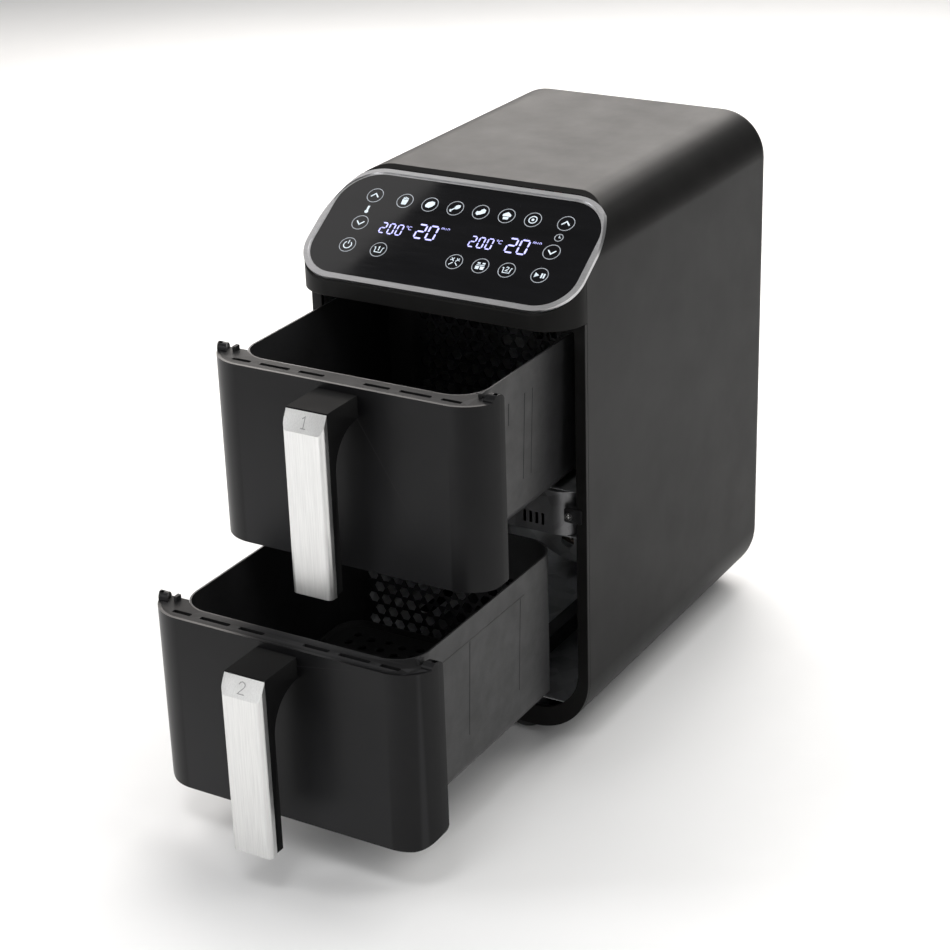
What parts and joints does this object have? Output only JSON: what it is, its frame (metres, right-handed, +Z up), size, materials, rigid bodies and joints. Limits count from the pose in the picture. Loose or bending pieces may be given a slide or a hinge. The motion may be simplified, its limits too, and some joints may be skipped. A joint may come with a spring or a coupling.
{
  "type": "air fryer",
  "caption": "Upright air fryer with two stacked pull-out drawers, sloping glass touch console, silver trim ring, hanging silver grips, baskets with lift-out crisper plates.",
  "frame": {"origin": "on the worktop, midway across the housing, 150 mm behind the front frame", "axes": "+Z up, -Y towards the user, so the drawers slide out along -Y, +X to the right seen from the front"},
  "size_m": [0.226, 0.5855, 0.408],
  "materials": {
    "black_shell": "fine satin grain",
    "drawer_black": "satin black",
    "collar_black": "matt",
    "control_glass": "gloss black",
    "satin_silver": "satin",
    "non_stick": "semi-matt non-stick coating",
    "galvanised": "dull galvanised sheet",
    "heater_steel": "heat-tinted",
    "fan_alloy": "pressed",
    "screw_steel": "zinc plated",
    "motor_steel": "dull",
    "dark_plastic": "matt",
    "board": "solder-masked board",
    "ceramic": "glazed",
    "wire_sleeve": "woven sleeve",
    "rubber": "matt"
  },
  "bodies": {
    "housing": {"housing_wrap": "black_shell", "front_frame": "black_shell", "console_cowl": "black_shell", "glass_panel": "control_glass", "trim_ring": "satin_silver", "glass_carrier": "collar_black", "control_board": "board", "display_modules": "dark_plastic", "touch_springs": "screw_steel", "mid_partition": "galvanised", "partition_brackets": "dark_plastic", "bracket_screws": "screw_steel", "upper_liner": "galvanised", "lower_liner": "galvanised", "upper_runners": "dark_plastic", "lower_runners": "dark_plastic", "upper_fan_guard": "galvanised", "lower_fan_guard": "galvanised", "upper_heater": "heater_steel", "lower_heater": "heater_steel", "upper_motor": "motor_steel", "lower_motor": "motor_steel", "upper_motor_bracket": "galvanised", "lower_motor_bracket": "galvanised", "temperature_sensors": "screw_steel", "thermal_cutouts": "ceramic", "power_board": "board", "drawer_sensors": "dark_plastic", "wiring_loom": "wire_sleeve", "base_plate": "galvanised", "feet": "rubber", "foot_screws": "screw_steel", "rear_cover": "black_shell", "rear_cover_screws": "screw_steel", "cord_gland": "rubber"},
    "upper_drawer": {"upper_front": "drawer_black", "upper_collar": "collar_black", "upper_basket": "non_stick", "upper_handle_core": "collar_black", "upper_handle_cover": "satin_silver", "upper_handle_screws": "screw_steel", "upper_magnet": "screw_steel"},
    "upper_plate": {"upper_crisper_plate": "non_stick", "upper_bumpers": "rubber"},
    "upper_fan_rotor": {"upper_fan": "fan_alloy", "upper_fan_shaft": "screw_steel", "upper_cooling_fan": "dark_plastic"},
    "lower_drawer": {"lower_front": "drawer_black", "lower_collar": "collar_black", "lower_basket": "non_stick", "lower_handle_core": "collar_black", "lower_handle_cover": "satin_silver", "lower_handle_screws": "screw_steel", "lower_magnet": "screw_steel"},
    "lower_plate": {"lower_crisper_plate": "non_stick", "lower_bumpers": "rubber"},
    "lower_fan_rotor": {"lower_fan": "fan_alloy", "lower_fan_shaft": "screw_steel", "lower_cooling_fan": "dark_plastic"}
  },
  "joints": [
    {"name": "upper_drawer_slide", "type": "slide", "parent": "housing", "child": "upper_drawer", "axis": [0, -1, 0], "range_m": [-0.1115, 0.085]},
    {"name": "upper_plate_lift", "type": "slide", "parent": "upper_drawer", "child": "upper_plate", "axis": [0, 0, 1], "range_m": [0, 0.06]},
    {"name": "upper_fan_spin", "type": "hinge", "parent": "housing", "child": "upper_fan_rotor", "pos_m": [0, 0.09, 0.267], "axis": [0, 1, 0], "continuous": true},
    {"name": "lower_drawer_slide", "type": "slide", "parent": "housing", "child": "lower_drawer", "axis": [0, -1, 0], "range_m": [-0.199, 0]},
    {"name": "lower_plate_lift", "type": "slide", "parent": "lower_drawer", "child": "lower_plate", "axis": [0, 0, 1], "range_m": [0, 0.06]},
    {"name": "lower_fan_spin", "type": "hinge", "parent": "housing", "child": "lower_fan_rotor", "pos_m": [0, 0.09, 0.1], "axis": [0, 1, 0], "continuous": true}
  ]
}
